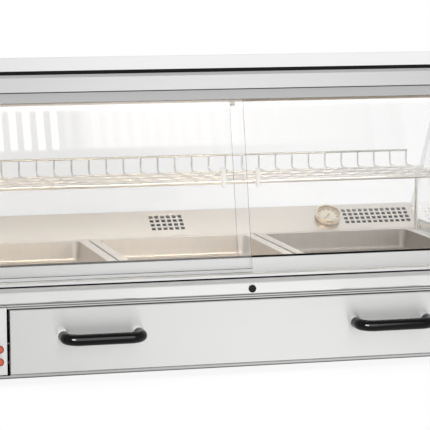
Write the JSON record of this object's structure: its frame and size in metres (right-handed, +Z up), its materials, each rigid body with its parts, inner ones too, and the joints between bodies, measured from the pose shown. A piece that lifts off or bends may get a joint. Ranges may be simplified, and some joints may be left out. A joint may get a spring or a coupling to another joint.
{
  "type": "hot buffet counter",
  "caption": "Countertop hot buffet counter with heated lift-out pans, leaning sliding glass doors, a wire shelf, sloped guest glass, a lit canopy and a drawer below.",
  "frame": {"origin": "bottom centre of the box around the whole counter, on the plane that its feet stand on", "axes": "+X along the width, to the operator's right; +Y from the operator to the guests; +Z up"},
  "size_m": [1.08, 0.733, 0.5125],
  "materials": {
    "casing_steel": "brushed",
    "inner_steel": "mill finish",
    "vent_steel": "brushed",
    "sill_steel": "brushed",
    "pan_steel": "satin",
    "canopy_metal": "satin anodised",
    "track_metal": "satin anodised",
    "ceiling_paint": "white powder coat",
    "top_steel": "bright",
    "fixed_glass": "clear",
    "door_glass": "clear",
    "clear_plastic": "clear moulded",
    "pull_plastic": "clear moulded",
    "black_seal": "matt black",
    "foot_rubber": "matt black",
    "shelf_chrome": "bright plated",
    "handle_black": "gloss black",
    "switch_black": "satin black",
    "thermostat_grey": "matt grey",
    "lamp_red": "translucent red",
    "dial_case": "bright plated",
    "dial_cream": "matt cream",
    "dial_pointer": "matt black",
    "dial_lens": "clear",
    "lamp_glass": "frosted",
    "lamp_holder": "matt white",
    "element_metal": "heat-darkened"
  },
  "bodies": {
    "counter": {"left_side_panel": "casing_steel", "right_side_panel": "casing_steel", "back_panel": "casing_steel", "front_apron": "casing_steel", "control_panel": "casing_steel", "right_front_panel": "casing_steel", "deck_plate": "casing_steel", "base_tray": "inner_steel", "bay_walls": "inner_steel", "heating_well": "inner_steel", "drawer_runners": "inner_steel", "vent_panel": "vent_steel", "door_sill": "sill_steel", "side_glass_channels": "sill_steel", "guest_glass_channel": "sill_steel", "canopy_front_rail": "canopy_metal", "canopy_rear_rail": "canopy_metal", "canopy_side_rails": "canopy_metal", "upper_track": "track_metal", "door_posts": "track_metal", "ceiling_panel": "ceiling_paint", "top_panel": "top_steel", "left_side_glass": "fixed_glass", "right_side_glass": "fixed_glass", "guest_glass": "fixed_glass", "sill_seals": "black_seal", "top_trim": "black_seal", "apron_plug": "black_seal", "feet": "foot_rubber", "shelf_grid": "shelf_chrome", "shelf_fence": "shelf_chrome", "shelf_legs": "shelf_chrome", "switch_housings": "switch_black", "cable_gland": "switch_black", "thermostat_body": "thermostat_grey", "indicator_lamps": "lamp_red", "thermometer_case": "dial_case", "thermometer_dial": "dial_cream", "thermometer_lens": "dial_lens", "lamp_tube": "lamp_glass", "lamp_holders": "lamp_holder", "heating_elements": "element_metal"},
    "left_door": {"left_door_glass": "door_glass", "left_door_shoe": "clear_plastic", "left_door_pull": "pull_plastic"},
    "right_door": {"right_door_glass": "door_glass", "right_door_shoe": "clear_plastic", "right_door_pull": "pull_plastic"},
    "drawer": {"drawer_front": "casing_steel", "drawer_tray": "inner_steel", "drawer_slides": "inner_steel", "left_handle": "handle_black", "right_handle": "handle_black"},
    "left_pan_body": {"left_pan": "pan_steel"},
    "middle_pan_body": {"middle_pan": "pan_steel"},
    "right_pan_body": {"right_pan": "pan_steel"},
    "knob": {"thermostat_knob": "switch_black"},
    "upper_switch": {"upper_rocker": "switch_black"},
    "lower_switch": {"lower_rocker": "switch_black"},
    "pointer": {"thermometer_pointer": "dial_pointer"}
  },
  "joints": [
    {"name": "left_door_slide", "type": "slide", "parent": "counter", "child": "left_door", "axis": [1, 0, 0], "range_m": [0, 0.49]},
    {"name": "right_door_slide", "type": "slide", "parent": "counter", "child": "right_door", "axis": [1, 0, 0], "range_m": [-0.49, 0]},
    {"name": "drawer_slide", "type": "slide", "parent": "counter", "child": "drawer", "axis": [0, -1, 0], "range_m": [0, 0.38]},
    {"name": "left_pan_lift", "type": "slide", "parent": "counter", "child": "left_pan_body", "axis": [0, 0, 1], "range_m": [0, 0.05]},
    {"name": "middle_pan_lift", "type": "slide", "parent": "counter", "child": "middle_pan_body", "axis": [0, 0, 1], "range_m": [0, 0.05]},
    {"name": "right_pan_lift", "type": "slide", "parent": "counter", "child": "right_pan_body", "axis": [0, 0, 1], "range_m": [0, 0.05]},
    {"name": "knob_turn", "type": "hinge", "parent": "counter", "child": "knob", "pos_m": [-0.4755, -0.3175, 0.101], "axis": [0, 1, 0], "range_deg": [0, 270]},
    {"name": "upper_switch_rock", "type": "hinge", "parent": "counter", "child": "upper_switch", "pos_m": [-0.4695, -0.3175, 0.062], "axis": [0, 0, 1], "range_deg": [-16, 0]},
    {"name": "lower_switch_rock", "type": "hinge", "parent": "counter", "child": "lower_switch", "pos_m": [-0.4695, -0.3175, 0.041], "axis": [0, 0, 1], "range_deg": [-16, 0]},
    {"name": "pointer_turn", "type": "hinge", "parent": "counter", "child": "pointer", "pos_m": [0.3285, 0.30007, 0.17749], "axis": [0, -0.5497, 0.8354], "range_deg": [-270, 0]}
  ]
}
